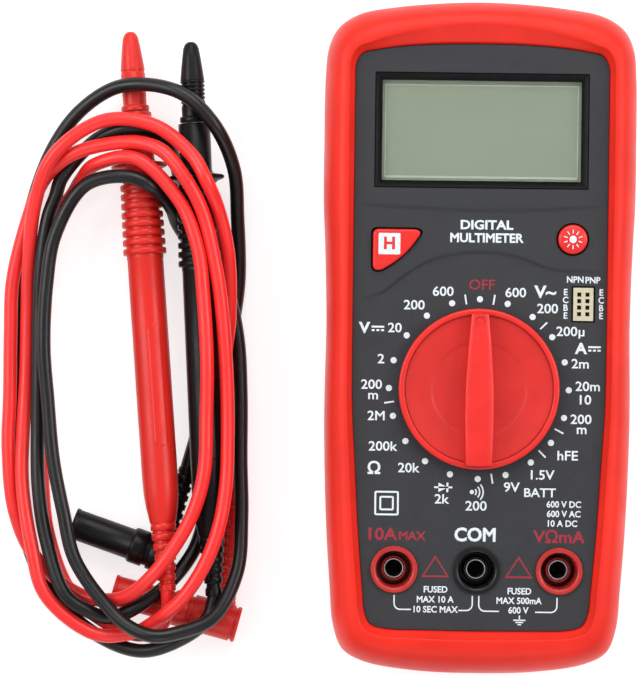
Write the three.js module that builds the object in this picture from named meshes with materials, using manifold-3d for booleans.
// Hand-held digital multimeter in a soft boot, lying on its back, with its two test leads beside it.
// Millimetres, +Z out of the face, +Y towards the display, origin under the middle of the boot.
import * as THREE from 'three';
import { mergeVertices } from 'three/addons/utils/BufferGeometryUtils.js';
import Module from 'manifold-3d';

const wasm = await Module();
wasm.setup();

// Driving dimensions
const GAP = 0.3;               // clearance between touching pieces
const FACE_Z = 31;             // top of the faceplate
const CASE_BOTTOM_Z = 2.9;     // underside of the rear case
const CASE_SPLIT_Z = 17.5;     // parting line between rear and front case
const PCB_Z = 21.4;            // underside of the circuit board
const PCB_THICK = 1.6;
const PCB_TOP = PCB_Z + PCB_THICK;
const KNOB_Y = -12;
const KNOB_R = 18.5;
const SOCKET_Y = -53.7;
const SOCKET_PITCH = 19;
const LCD_Y = 47.5;
const WINDOW_W = 45.9;
const WINDOW_H = 23.1;
const HOLD = { x: -20.9, y: 20.9 };
const LIGHT = { x: 21.2, y: 22.7, r: 3.4 };
const HFE = { x: 23.8, y: 7.8, w: 4.6, h: 7.6 };
const BATTERY = { y: 45.5, w: 48.5, h: 26.5, z0: 3.3, z1: 20.8 };
const STAND_HINGE_Y = 22;
const STAND_HINGE_Z = 1.7;
const CORD_R = 1.65;
const SHROUD_R = 3.65;

// Half outlines from the top middle down to the bottom middle, [x, y]
const OUTER_HALF = [
  [0, 77.85], [20.3, 76.45], [28.6, 74.7], [33.2, 71.6], [35.4, 67.2], [36.1, 60.5], [36.25, 45],
  [36.2, 31], [35.7, 20], [35.25, 3], [35.5, -16], [35.3, -30], [34.7, -45], [33.8, -58],
  [32.9, -67.6], [30.7, -73], [25.6, -75.8], [14, -77.75], [0, -78.25],
];
const FACE_HALF = [
  [0, 67.35], [15, 66.9], [24, 65.8], [27.6, 64.9], [29, 62.5], [29.15, 57], [29.15, 44],
  [29.15, 31], [29.15, 20], [29.15, 3], [29, -16], [28.2, -30], [27.3, -45], [26.2, -58],
  [25.6, -63.6], [24.3, -66.2], [21.5, -67.2], [12, -67.5], [0, -67.6],
];
// Boot section: [share of the way from the outline to the faceplate edge, height]
const BOOT_SECTION = [
  [0.1, 0], [0.02, 1.5], [0, 14], [0.03, 24], [0.14, 29], [0.36, 32], [0.66, 33.4], [0.84, 33.5],
  [0.95, 32.8], [0.98, FACE_Z - 0.7], [0.56, FACE_Z - 0.7], [0.52, 2.6], [1.45, 2.6], [1.45, 0],
];
const CASE_SHARE = 0.58;
const CASE_INNER_SHARE = 0.84;

// Lead routes, from the probe to the plug
const RED_ROUTE = [
  [-71.7, -60.9, 12.8], [-71.6, -64.9, 11.1], [-73.4, -69, 8.4], [-78, -71.3, 6.3],
  [-85.5, -69, 5.5], [-95, -61.5, 3.5], [-100.5, -48, 2.5], [-102, -36, 2.5], [-102.5, -21, 2.5],
  [-102.5, -9, 3.5], [-102, 3, 4], [-101, 18, 5], [-98.5, 28, 5.2], [-95.6, 32.5, 5],
  [-93.3, 36.2, 7.6], [-90, 39.3, 12.3], [-80.5, 40.8, 15.8], [-70, 31, 17], [-65.5, 20, 18],
  [-64, 8.5, 18], [-63, -6.5, 18], [-63, -18.5, 17.5], [-63.5, -33.5, 17.5], [-67, -44.5, 17.5],
  [-75.5, -57, 16.5], [-82.5, -62.3, 12.2], [-92.5, -62, 6.6], [-103.5, -53, 5.5],
  [-108.3, -42.5, 5.5], [-110, -27.5, 5.5], [-109.8, -15.5, 5.5], [-109.8, -0.5, 5.5],
  [-109.5, 11.5, 5.6], [-107, 23, 6.2], [-103.2, 34, 7.6], [-99.5, 38.8, 10.5], [-95, 41.8, 12.5],
  [-88.5, 43.8, 13.8], [-80, 44.5, 15.5], [-74, 42.5, 17.5], [-68.5, 36, 18.8],
  [-64.5, 28.5, 18], [-61, 14.5, 17.6], [-59.4, 3, 17], [-58.3, -12, 16], [-58, -24.5, 15.8],
  [-58.3, -36, 16.2], [-60, -46, 17], [-63.5, -55, 17.4], [-68, -61.8, 16.6],
  [-71.9, -65.6, 15], [-75, -68, 12.8], [-79, -70.3, 10.8], [-88.5, -71, 10],
  [-100.5, -62, 9.5], [-104, -50.5, 9], [-106.5, -35.5, 7.5], [-106.5, -23.5, 6.5],
  [-106, -11.5, 6], [-105.8, 3.5, 6.4], [-105.6, 15.5, 7.8], [-104, 30.5, 10.6], [-99.5, 41.5, 14],
  [-88, 49.5, 15], [-76, 48.5, 16.5], [-67, 41.5, 18], [-63.8, 36, 19.2], [-61, 29.5, 16],
  [-58.5, 19, 13.5], [-58, 4, 10], [-59, -8, 7], [-57, -22.5, 3.5], [-57.3, -36.5, 3.6],
];
const BLACK_ROUTE = [
  [-60.8, -61.9, 12], [-62, -66.4, 11.6], [-66.5, -70.8, 10], [-77.5, -75, 7.5],
  [-88.5, -71.5, 5.5], [-99.5, -62, 3.5], [-105, -51.5, 2], [-108, -36.5, 2], [-108.5, -24.5, 2],
  [-108.5, -9.5, 2], [-108.5, 2.5, 2], [-107.5, 17.5, 2.5], [-105.5, 29, 3], [-100.5, 43, 5],
  [-93.5, 52.5, 7.5], [-84, 58, 10], [-70.5, 56.5, 14.4], [-62.5, 49.5, 14.8], [-57.5, 39, 9.5],
  [-56.5, 27.5, 7], [-56.1, 12.5, 3.5], [-57.6, 0.5, 2], [-59.4, -14.5, 1.9], [-61, -26, 2],
  [-63, -40.5, 2], [-66, -51.5, 5], [-74, -61, 10], [-85, -67, 10.5], [-91, -65.2, 11.2],
  [-96, -61.5, 11], [-100.5, -49, 9.5], [-102.5, -37, 9], [-103, -22, 8], [-103, -10, 8],
  [-103, 5, 8.5], [-102.5, 16.5, 9.5], [-101, 27, 9.4], [-99.3, 32, 9], [-98.2, 35.8, 8.9],
  [-93.5, 42, 8.5], [-88.5, 46, 11.5], [-82, 48, 13.4], [-77, 47.5, 12.7], [-73.5, 45, 8],
  [-71.3, 40, 3.2], [-69.9, 35.5, 1.8], [-66, 30, 2], [-61.8, 24, 3.3], [-59, 12.5, 5.7],
  [-56.1, -1, 5.8], [-55.2, -14, 7.4], [-55, -29.5, 9], [-54.6, -43, 10.8], [-55.5, -56, 13],
  [-61, -66.5, 15.4], [-69, -70, 16.2], [-75, -70.8, 16.8], [-80.5, -68.8, 15.6],
  [-85, -65, 14.4], [-93.5, -53.5, 12.5], [-96.5, -42, 12], [-99, -30, 11.5],
  [-100.5, -15.5, 11.5], [-101.5, -3.5, 12], [-101, 11, 12.5], [-99, 23, 13], [-92, 34.5, 14],
  [-82, 36.5, 15.3], [-76.5, 34.2, 15], [-72.3, 29.8, 8.5], [-70.8, 26, 3.6], [-68, 21.5, 2],
  [-64, 14, 2], [-61, 6.5, 3], [-61, -5.5, 3.5], [-64.5, -20, 3.5], [-67.8, -32, 4],
];
// Probe axes from the cap's end to the strain relief's end, and plugs from rim to head
const RED_PROBE = { from: [-82.5, 71.1, 5], to: [-71.7, -60.3, 12.9] };
const BLACK_PROBE = { from: [-68, 68.6, 9.4], to: [-60.8, -61.4, 12] };
const RED_PLUG = { rim: [-84.9, -60.9, 4.6], head: [-55.2, -68.8, 4.6], relief: [-57.3, -37, 3.6] };
const BLACK_PLUG = { rim: [-94.6, -45.2, 4.6], head: [-70.5, -53.5, 4.6], relief: [-67.8, -32.5, 4] };

const meter = new THREE.Group();
const materials = {
  red_rubber: [0xd81f1c, 0.55, 0], black_plastic: [0x2b2c2c, 0.5, 0], red_plastic: [0xe02a26, 0.35, 0],
  cream_plastic: [0xd9cfae, 0.5, 0], white_plastic: [0xe8e8e4, 0.5, 0], glass: [0x9fb3a8, 0.1, 0],
  lcd: [0x93a38c, 0.25, 0], board: [0x2c6b3c, 0.5, 0], brass: [0xc8a04a, 0.3, 1],
  steel: [0xb8b8b8, 0.35, 1], epoxy: [0x111111, 0.4, 0], battery: [0x2a4f8f, 0.4, 0.2],
};

function addMesh(name, geometry, finish, parent = meter) {
  const [color, roughness, metalness] = materials[finish];
  const mesh = new THREE.Mesh(geometry, new THREE.MeshStandardMaterial({ color, roughness, metalness }));
  mesh.name = name;
  parent.add(mesh);
  return mesh;
}

// Booleans
function solid(geometry) {
  const plain = geometry.clone();
  plain.deleteAttribute('normal');
  plain.deleteAttribute('uv');
  const merged = mergeVertices(plain, 1e-4);
  return new wasm.Manifold(new wasm.Mesh({
    numProp: 3,
    vertProperties: new Float32Array(merged.attributes.position.array),
    triVerts: new Uint32Array(merged.index.array),
  }));
}
function toGeometry(body) {
  const mesh = body.getMesh();
  const geometry = new THREE.BufferGeometry();
  geometry.setAttribute('position', new THREE.BufferAttribute(new Float32Array(mesh.vertProperties), 3));
  geometry.setIndex(new THREE.BufferAttribute(new Uint32Array(mesh.triVerts), 1));
  return geometry;
}
function cut(geometry, ...tools) {
  return toGeometry(tools.reduce((body, tool) => body.subtract(solid(tool)), solid(geometry)));
}
function join(geometry, ...others) {
  return toGeometry(others.reduce((body, other) => body.add(solid(other)), solid(geometry)));
}

// Plain shapes
function box(width, depth, x, y, z0, z1) {
  return new THREE.BoxGeometry(width, depth, z1 - z0).translate(x, y, (z0 + z1) / 2);
}
function post(radius, x, y, z0, z1, sides = 16) {
  return lathe([[0, z0], [radius, z0], [radius, z1], [0, z1]], sides).translate(x, y, 0);
}
function ring(outer, inner, x, y, z0, z1, sides = 16) {
  return lathe([[inner, z0], [outer, z0], [outer, z1], [inner, z1], [inner, z0]], sides).translate(x, y, 0);
}
function lathe(profile, sides = 24) {
  const points = profile.map(([r, z]) => new THREE.Vector2(r, z));
  return new THREE.LatheGeometry(points, sides).rotateX(Math.PI / 2);
}
function slab(points, z0, z1) {
  const shape = new THREE.Shape(points.map(([x, y]) => new THREE.Vector2(x, y)));
  return new THREE.ExtrudeGeometry(shape, { depth: z1 - z0, bevelEnabled: false }).translate(0, 0, z0);
}
function roundedSlab(width, height, radius, x, y, z0, z1) {
  const shape = new THREE.Shape();
  const corners = [[1, -1, -0.5], [1, 1, 0], [-1, 1, 0.5], [-1, -1, 1]];
  for (const [sx, sy, start] of corners) {
    const from = start * Math.PI;
    const cx = sx * (width / 2 - radius);
    const cy = sy * (height / 2 - radius);
    shape.absarc(cx, cy, radius, from, from + Math.PI / 2, false);
  }
  const options = { depth: z1 - z0, bevelEnabled: false, curveSegments: 4 };
  return new THREE.ExtrudeGeometry(shape, options).translate(x, y, z0);
}

// Outlines
const OUTLINE_STEPS = 60;
function wholeOutline(half) {
  const left = half.slice(1, -1).reverse().map(([x, y]) => [-x, y]);
  const points = [...half, ...left].map(([x, y]) => new THREE.Vector3(x, y, 0));
  const curve = new THREE.CatmullRomCurve3(points, true, 'centripetal');
  return Array.from({ length: OUTLINE_STEPS }, (_, i) => curve.getPoint(i / OUTLINE_STEPS));
}
const outerOutline = wholeOutline(OUTER_HALF);
const faceOutline = wholeOutline(FACE_HALF);
function outlineAt(share) {
  return outerOutline.map((outer, i) => {
    const point = outer.clone().lerp(faceOutline[i], share);
    return [point.x, point.y];
  }).reverse();
}
function sweptBand(section) {
  const positions = [];
  const index = [];
  const count = section.length;
  const rings = section.map(([share]) => outlineAt(share));
  for (let i = 0; i < OUTLINE_STEPS; i += 1) {
    for (let j = 0; j < count; j += 1) positions.push(rings[j][i][0], rings[j][i][1], section[j][1]);
  }
  for (let i = 0; i < OUTLINE_STEPS; i += 1) {
    const next = ((i + 1) % OUTLINE_STEPS) * count;
    for (let j = 0; j < count; j += 1) {
      const a = i * count + j;
      const b = i * count + ((j + 1) % count);
      const c = next + j;
      const d = next + ((j + 1) % count);
      index.push(a, c, b, c, d, b);
    }
  }
  const geometry = new THREE.BufferGeometry();
  geometry.setAttribute('position', new THREE.Float32BufferAttribute(positions, 3));
  geometry.setIndex(index);
  return geometry;
}

// Boot, case and covers
const CASE_SCREWS = [[-20, 66.2], [20, 66.2], [-24, -62.6], [24, -62.6]];
const DOOR_SCREW = { x: 0, y: 28.2 };
function boot() {
  addMesh('boot', sweptBand(BOOT_SECTION), 'red_rubber');
}
function rearCase() {
  const floorTop = CASE_BOTTOM_Z + 2;
  let body = cut(
    slab(outlineAt(CASE_SHARE), CASE_BOTTOM_Z, CASE_SPLIT_Z),
    slab(outlineAt(CASE_INNER_SHARE), floorTop, CASE_SPLIT_Z + 1),
    box(49.6, 27.6, 0, BATTERY.y, CASE_BOTTOM_Z - 1, floorTop + 1),
  );
  const bosses = CASE_SCREWS.map(([x, y]) => post(3.4, x, y, CASE_BOTTOM_Z, CASE_SPLIT_Z, 12));
  const doorBoss = post(2.6, DOOR_SCREW.x, DOOR_SCREW.y, CASE_BOTTOM_Z, 10, 12);
  const ears = [-1, 1].map((side) => box(2.4, 4.4, side * 24.4, STAND_HINGE_Y, 0.5, CASE_BOTTOM_Z + 1));
  body = join(body, ...bosses, doorBoss, ...ears);
  const screwHoles = CASE_SCREWS.map(([x, y]) => post(1.8, x, y, 0, CASE_SPLIT_Z + 1, 10));
  const headHoles = CASE_SCREWS.map(([x, y]) => post(3, x, y, 0, 5.2, 10));
  const doorHole = post(1.3, DOOR_SCREW.x, DOOR_SCREW.y, 0, 11, 10);
  const pinBores = new THREE.CylinderGeometry(1.1, 1.1, 60, 10).rotateZ(Math.PI / 2)
    .translate(0, STAND_HINGE_Y, STAND_HINGE_Z);
  body = cut(body, ...screwHoles, ...headHoles, doorHole, pinBores);
  addMesh('rear_case', body, 'black_plastic');
}
function holdOutline(grow) {
  const left = HOLD.x - 3.9 - grow;
  const top = HOLD.y + 3.7 + grow;
  const shape = new THREE.Shape();
  shape.moveTo(left, top - 1.4);
  shape.quadraticCurveTo(left, top, left + 1.4, top);
  shape.lineTo(HOLD.x + 5.6, top);
  shape.quadraticCurveTo(HOLD.x + 8 + grow * 2, top - 0.2, HOLD.x + 6.3 + grow, top - 2.2 - grow);
  shape.quadraticCurveTo(HOLD.x + 3.6, HOLD.y - 2.8 - grow * 0.6, HOLD.x - 1.6, HOLD.y - 5.6 - grow);
  shape.quadraticCurveTo(left, HOLD.y - 6.4 - grow, left, HOLD.y - 4.4);
  return shape;
}
function holdSlab(grow, z0, z1) {
  const options = { depth: z1 - z0, bevelEnabled: false, curveSegments: 4 };
  return new THREE.ExtrudeGeometry(holdOutline(grow), options).translate(0, 0, z0);
}
function frontCase() {
  const plateBottom = FACE_Z - 2.2;
  const shell = cut(
    join(
      slab(outlineAt(CASE_SHARE), CASE_SPLIT_Z + GAP, FACE_Z - 1),
      slab(outlineAt(1.03), FACE_Z - 2, FACE_Z),
    ),
    slab(outlineAt(CASE_INNER_SHARE), CASE_SPLIT_Z, plateBottom),
  );
  const sockets = [-1, 0, 1].map((side) => post(5.35, side * SOCKET_PITCH, SOCKET_Y, 20, 40, 16));
  const openings = [
    box(WINDOW_W, WINDOW_H, 0, LCD_Y, 20, 40),
    holdSlab(GAP, 20, 40),
    post(LIGHT.r + GAP, LIGHT.x, LIGHT.y, 20, 40),
    box(HFE.w + 2 * GAP, HFE.h + 2 * GAP, HFE.x, HFE.y, 20, 40),
    post(8, 0, KNOB_Y, 20, 40, 24),
    ...sockets,
  ];
  const bosses = CASE_SCREWS.map(([x, y]) => post(2.6, x, y, CASE_SPLIT_Z + GAP, FACE_Z - 1.5, 12));
  const pilots = CASE_SCREWS.map(([x, y]) => post(1.5, x, y, 10, 26, 10));
  addMesh('front_case', cut(join(cut(shell, ...openings), ...bosses), ...pilots), 'black_plastic');
}
function caseScrews() {
  CASE_SCREWS.forEach(([x, y], i) => {
    const profile = [[0, 3.1], [2.6, 3.1], [2.6, 4.8], [1.2, 4.8], [1.2, 24], [0, 25]];
    addMesh(`case_screw_${i + 1}`, lathe(profile, 10).translate(x, y, 0), 'steel');
  });
}
function batteryDoor() {
  const plate = join(
    roundedSlab(51, 36, 4, 0, 43.2, 0.6, 2.5),
    box(49, 27, 0, BATTERY.y, 2.4, 2.95),
  );
  const screwHole = post(1.5, DOOR_SCREW.x, DOOR_SCREW.y, 0, 5, 10);
  const headHole = post(2.6, DOOR_SCREW.x, DOOR_SCREW.y, 0, 1.7, 12);
  addMesh('battery_door', cut(plate, screwHole, headHole), 'black_plastic');
  const profile = [[0, 0.6], [2.2, 0.6], [2.2, 1.4], [1, 1.4], [1, 9], [0, 9.6]];
  addMesh('battery_door_screw', lathe(profile, 12).translate(DOOR_SCREW.x, DOOR_SCREW.y, 0), 'steel');
}
function tiltStand() {
  const top = 2.5;
  const bottom = 0.6;
  const panel = roundedSlab(45.4, 62, 3, 0, STAND_HINGE_Y - 31.6, bottom, top);
  const slot = roundedSlab(26, 36, 4, 0, STAND_HINGE_Y - 31, bottom - 1, top + 1);
  const barrel = new THREE.CylinderGeometry(1.05, 1.05, 45.4, 12).rotateZ(Math.PI / 2)
    .translate(0, STAND_HINGE_Y, STAND_HINGE_Z);
  const pins = new THREE.CylinderGeometry(0.75, 0.75, 49.6, 10).rotateZ(Math.PI / 2)
    .translate(0, STAND_HINGE_Y, STAND_HINGE_Z);
  addMesh('tilt_stand', join(cut(panel, slot), barrel, pins), 'black_plastic');
}

// Display
function display() {
  const lens = roundedSlab(WINDOW_W - 2 * GAP, WINDOW_H - 2 * GAP, 0.6, 0, LCD_Y, FACE_Z - 1.9, FACE_Z - 0.9);
  addMesh('window_lens', lens, 'glass');
  addMesh('lcd_panel', box(46.4, 24, 0, LCD_Y, 26, 28.3), 'lcd');
  const holder = cut(
    box(51, 28, 0, LCD_Y, PCB_TOP + GAP, 28),
    box(47, 24.6, 0, LCD_Y, 25.6, 29),
    box(44, 18, 0, LCD_Y + 2, 22, 26),
    box(44, 2.4, 0, LCD_Y - 10.4, 22, 26),
  );
  addMesh('lcd_holder', holder, 'white_plastic');
  addMesh('backlight_panel', box(43.2, 17.2, 0, LCD_Y + 2, PCB_TOP + GAP, 25.6), 'white_plastic');
  addMesh('zebra_strip', box(43, 1.8, 0, LCD_Y - 10.4, PCB_TOP + GAP, 25.7), 'red_rubber');
}

// Circuit board and what is on it
function mainBoard() {
  const outline = roundedSlab(53, 124, 2, 0, 0.5, PCB_Z, PCB_TOP);
  const sockets = [-1, 0, 1].map((side) => post(5.2, side * SOCKET_PITCH, SOCKET_Y, 20, 25, 20));
  const corners = CASE_SCREWS.map(([x, y]) => post(4.4, x, y, 20, 25, 12));
  const hub = post(4.2, 0, KNOB_Y, 20, 25, 20);
  addMesh('main_pcb', cut(outline, ...sockets, ...corners, hub), 'board');
  const blob = [[0, 17.9], [3, 18.2], [5.5, 19.4], [6.5, PCB_Z - GAP], [0, PCB_Z - GAP]];
  addMesh('chip_blob', lathe(blob, 20).translate(0, -12, 0), 'epoxy');
}
function fuseAndShunt() {
  const fuse = new THREE.CylinderGeometry(2.5, 2.5, 20, 16).rotateZ(Math.PI / 2).translate(0, -38, 17.2);
  addMesh('fuse', fuse, 'glass');
  [-1, 1].forEach((side, i) => {
    const block = box(4, 7.4, side * 7.4, -38, 13.6, PCB_Z - GAP);
    const bore = new THREE.CylinderGeometry(2.8, 2.8, 6, 16).rotateZ(Math.PI / 2).translate(side * 7.4, -38, 17.2);
    const mouth = box(6, 4.4, side * 7.4, -38, 12, 17.2);
    addMesh(`fuse_clip_${i + 1}`, cut(block, bore, mouth), 'brass');
  });
  const points = [[-12, -46, 21], [-12, -46, 14], [-10.5, -46, 12], [-6.5, -46, 12], [-5, -46, 14], [-5, -46, 21]]
    .map(([x, y, z]) => new THREE.Vector3(x, y, z));
  const wire = new THREE.CatmullRomCurve3(points, false, 'centripetal');
  addMesh('shunt_wire', tube(wire, 0.7, 20, 8), 'brass');
}
function buzzer() {
  addMesh('buzzer', ring(6, 1, 20, -16, 16.5, PCB_Z - GAP, 24), 'epoxy');
}
function battery() {
  const body = roundedSlab(BATTERY.w - 3.5, BATTERY.h, 3, 1.5, BATTERY.y, BATTERY.z0, BATTERY.z1 - 3);
  addMesh('battery_9v', body, 'battery');
  const snap = cut(
    box(3, 22, -24.2, BATTERY.y, 5.4, 19.6),
    new THREE.CylinderGeometry(2.6, 2.6, 1.6, 16).rotateZ(Math.PI / 2).translate(-22.7, BATTERY.y - 6.4, 11.5),
    new THREE.CylinderGeometry(3, 3, 1.6, 16).rotateZ(Math.PI / 2).translate(-22.7, BATTERY.y + 6.4, 11.5),
  );
  addMesh('battery_snap', snap, 'epoxy');
}

// Input sockets
function inputSocket(name, x, finish) {
  const bottom = 11;
  const profile = [
    [0, bottom], [5, bottom], [5, FACE_Z + 0.1 - GAP], [5.4, FACE_Z + GAP], [5.4, FACE_Z + 0.9],
    [4.25, FACE_Z + 0.9], [4.25, bottom + 1.6], [2.95, bottom + 1.6], [2.95, 26], [2.6, 26], [2.6, bottom + 3],
    [0, bottom + 3],
  ];
  addMesh(`input_socket_${name}`, lathe(profile, 16).translate(x, SOCKET_Y, 0), finish);
  addMesh(`socket_sleeve_${name}`, ring(2.3, 1.95, x, SOCKET_Y, bottom + 3.3, 25.6, 14), 'brass');
}

// Range selector
const BALL_RADIUS = 12;
function rangeSelector() {
  const knob = [
    [0, 27.2], [7.6, 27.2], [7.6, FACE_Z + GAP], [KNOB_R, FACE_Z + GAP], [KNOB_R, FACE_Z + 2],
    [KNOB_R - 0.8, FACE_Z + 3], [KNOB_R - 1.5, FACE_Z + 3], [11.5, FACE_Z + 1.7], [10.8, FACE_Z + 1.5],
    [0, FACE_Z + 1.5],
  ];
  const halfLength = KNOB_R - 1;
  const ridge = slab([
    [-2.1, halfLength], [-3.2, 2], [-3.4, -4], [-3, -halfLength], [3, -halfLength], [3.4, -4], [3.2, 2],
    [2.1, halfLength],
  ].reverse(), FACE_Z + 0.8, FACE_Z + 8);
  const slant = box(20, 60, 0, 0, 0, 10).rotateX(-0.06).translate(0, 0, FACE_Z + 6.6);
  const body = join(lathe(knob, 36), cut(ridge, slant)).translate(0, KNOB_Y, 0);
  addMesh('selector_knob', body, 'red_plastic');
  const discTop = 26.6;
  const discBottom = 24.6;
  const pockets = [-1, 1].map((side) => post(1.8, side * BALL_RADIUS, 0, discBottom + 0.6, discTop + 1, 12));
  const disc = cut(lathe([[0, discBottom], [14.5, discBottom], [14.5, discTop], [0, discTop]], 28), ...pockets);
  const axle = post(3.8, 0, 0, PCB_Z, discBottom + 0.5, 20);
  const rotor = join(disc, axle).translate(0, KNOB_Y, 0);
  addMesh('selector_rotor', rotor, 'white_plastic');
  [-1, 1].forEach((side, i) => {
    const x = side * BALL_RADIUS;
    addMesh(`detent_spring_${i + 1}`, ring(1.2, 0.7, x, KNOB_Y, discBottom + 0.9, discTop - 0.5, 12), 'steel');
    const ball = new THREE.SphereGeometry(1.1, 12, 8).translate(x, KNOB_Y, discTop + 0.9);
    addMesh(`detent_ball_${i + 1}`, ball, 'steel');
  });
  for (let i = 0; i < 3; i += 1) {
    const wiper = box(7, 1.6, 9.4, 0, PCB_TOP + GAP, discBottom - GAP);
    wiper.rotateZ(Math.PI / 2 + i * 2 * Math.PI / 3).translate(0, KNOB_Y, 0);
    addMesh(`contact_wiper_${i + 1}`, wiper, 'brass');
  }
}

// Push buttons and the transistor socket
function buttons() {
  const holdStem = post(1.6, HOLD.x, HOLD.y, 26.6, 29, 12);
  addMesh('hold_button', join(holdSlab(0, 28.2, FACE_Z + 1.3), holdStem), 'red_plastic');
  const lightProfile = [
    [0, 26.6], [1.6, 26.6], [1.6, 28.2], [LIGHT.r, 28.2], [LIGHT.r, FACE_Z + 0.8],
    [LIGHT.r - 0.6, FACE_Z + 1.3], [0, FACE_Z + 1.4],
  ];
  addMesh('backlight_button', lathe(lightProfile, 24).translate(LIGHT.x, LIGHT.y, 0), 'red_plastic');
  [HOLD, LIGHT].forEach(({ x, y }, i) => {
    const body = join(box(6, 6, x, y, PCB_TOP + 0.2, 24.6), post(1.5, x, y, 24, 25.2, 12));
    addMesh(`tact_switch_${i + 1}`, body, 'epoxy');
  });
}
function transistorSocket() {
  const block = box(HFE.w, HFE.h, HFE.x, HFE.y, PCB_TOP + GAP, FACE_Z + 0.2);
  const holes = [];
  for (const column of [-1, 1]) {
    for (let row = -1.5; row <= 1.5; row += 1) {
      holes.push(box(0.95, 0.95, HFE.x + column * 0.95, HFE.y + row * 1.5, 27, 35));
    }
  }
  addMesh('transistor_socket', cut(block, ...holes), 'cream_plastic');
}

// Test leads
const leads = new THREE.Group();
meter.add(leads);
function tube(curve, radius, steps, sides) {
  const section = new THREE.Shape();
  for (let i = 0; i < sides; i += 1) {
    const angle = (i / sides) * 2 * Math.PI;
    const point = [radius * Math.cos(angle), radius * Math.sin(angle)];
    if (i === 0) section.moveTo(...point);
    else section.lineTo(...point);
  }
  return new THREE.ExtrudeGeometry(section, { steps, extrudePath: curve, bevelEnabled: false });
}
function cord(name, route, finish) {
  const points = route.map(([x, y, z]) => new THREE.Vector3(x, y, z));
  const curve = new THREE.CatmullRomCurve3(points, false, 'centripetal');
  curve.arcLengthDivisions = 1000;
  addMesh(name, tube(curve, CORD_R, 80, 8), finish, leads);
}
function alongAxis(from, to) {
  const start = new THREE.Vector3(...from);
  const direction = new THREE.Vector3(...to).sub(start);
  const group = new THREE.Group();
  group.position.copy(start);
  group.quaternion.setFromUnitVectors(new THREE.Vector3(0, 0, 1), direction.clone().normalize());
  leads.add(group);
  return { group, length: direction.length() };
}
function probe(colour, axis, finish) {
  const { group, length } = alongAxis(axis.from, axis.to);
  const cap = [
    [0, 0], [1, 0.3], [1.85, 1.6], [2.8, 9], [2.75, 17.6], [3.3, 17.8], [3.3, 19], [1.4, 19],
    [1.4, 2.5], [1, 1.8], [0, 1.6],
  ];
  addMesh(`${colour}_tip_cap`, lathe(cap, 16), finish, group);
  const end = length - 0.3;
  const body = [
    [0, 19.3], [3.75, 19.3], [3.75, 30.5], [6.6, 31.5], [6.6, 32.6], [4.6, 34], [5.1, 53.6], [4.25, 54],
    [4.25, 110], [3.1, 116], [2.6, 116.5], [2.1, end - 1], [2.1, end], [0, end],
  ];
  addMesh(`${colour}_probe_body`, lathe(body, 16), finish, group);
  addMesh(`${colour}_probe_needle`, lathe([[0, 3], [0.95, 6], [0.95, 19], [0, 19]], 10), 'steel', group);
}
function plug(colour, place, finish) {
  const { group, length } = alongAxis(place.rim, place.head);
  const shroudLength = 15;
  const profile = [
    [0, shroudLength], [3.15, shroudLength], [3.15, 0], [SHROUD_R, 0], [SHROUD_R, shroudLength],
    [4.2, shroudLength + 0.3], [4.3, length], [0, length],
  ];
  const pin = [[0, 1], [1.4, 1], [1.85, 3], [1.85, shroudLength - GAP], [0, shroudLength - GAP]];
  addMesh(`${colour}_plug_pin`, lathe(pin, 12), 'brass', group);
  const inward = new THREE.Matrix4().compose(group.position, group.quaternion, group.scale);
  const headEnd = new THREE.Vector3(0, 0, length - 4).applyMatrix4(inward);
  const reliefEnd = new THREE.Vector3(...place.relief);
  const relief = new THREE.LatheGeometry([
    new THREE.Vector2(0, 0), new THREE.Vector2(3, 0), new THREE.Vector2(2.1, headEnd.distanceTo(reliefEnd)),
    new THREE.Vector2(0, headEnd.distanceTo(reliefEnd)),
  ], 12);
  const turn = new THREE.Quaternion().setFromUnitVectors(
    new THREE.Vector3(0, 1, 0),
    reliefEnd.clone().sub(headEnd).normalize(),
  );
  relief.applyQuaternion(turn).translate(headEnd.x, headEnd.y, headEnd.z);
  const body = join(lathe(profile, 16).applyMatrix4(inward), relief);
  addMesh(`${colour}_plug_body`, body, finish, leads);
}

boot();
rearCase();
frontCase();
caseScrews();
batteryDoor();
tiltStand();
display();
mainBoard();
fuseAndShunt();
buzzer();
battery();
inputSocket('10a', -SOCKET_PITCH, 'red_plastic');
inputSocket('com', 0, 'black_plastic');
inputSocket('volt_ohm', SOCKET_PITCH, 'red_plastic');
rangeSelector();
buttons();
transistorSocket();
probe('red', RED_PROBE, 'red_plastic');
probe('black', BLACK_PROBE, 'black_plastic');
plug('red', RED_PLUG, 'red_plastic');
plug('black', BLACK_PLUG, 'black_plastic');
cord('red_cord', RED_ROUTE, 'red_rubber');
cord('black_cord', BLACK_ROUTE, 'black_plastic');

export default meter;
